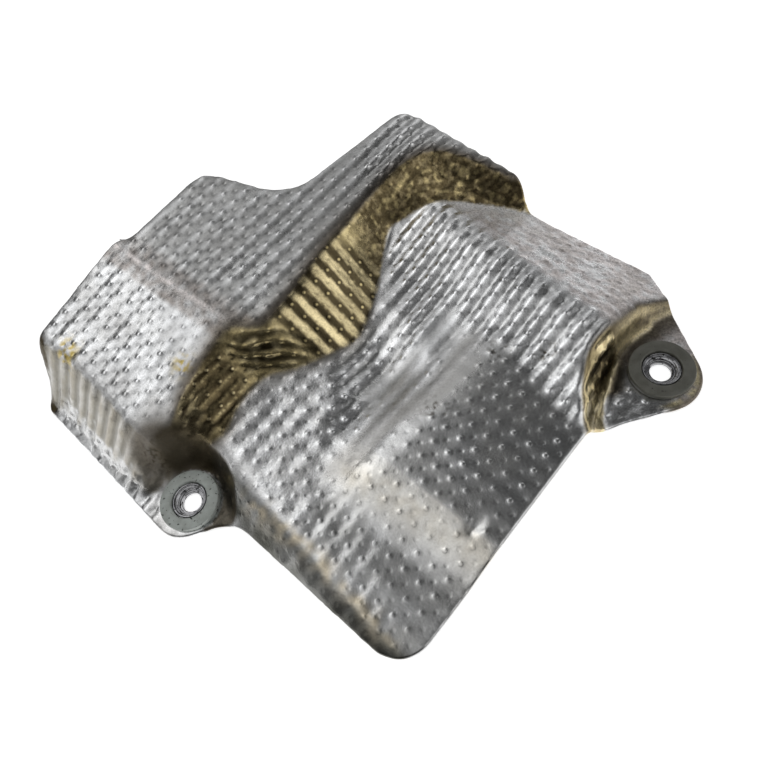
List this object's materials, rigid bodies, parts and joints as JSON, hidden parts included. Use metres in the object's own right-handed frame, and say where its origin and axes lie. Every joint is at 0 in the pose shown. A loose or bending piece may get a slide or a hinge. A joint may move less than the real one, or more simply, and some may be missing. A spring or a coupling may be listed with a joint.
{
  "type": "heat shield",
  "caption": "Pressed and embossed sheet heat shield with a raised plateau, a sloping wall, a hemmed rim and two bolt tabs with thick washers and flanged sleeves.",
  "frame": {"origin": "midway between the two bolt holes, in the plane of the sleeves' seats", "axes": "+X from the left bolt hole to the right one, +Z along the bolts away from the engine, +Y towards the raised plateau's back edge"},
  "size_m": [0.2846, 0.2293, 0.0444],
  "materials": {
    "embossed_aluminium": "dimpled, dull silver with brown and gold heat tint on its steep walls",
    "washer_steel": "dull grey-green coated",
    "sleeve_steel": "bright turned"
  },
  "bodies": {
    "root": {"heat_shield_panel": "embossed_aluminium", "left_washer": "washer_steel", "right_washer": "washer_steel", "left_sleeve": "sleeve_steel", "right_sleeve": "sleeve_steel"}
  },
  "joints": []
}
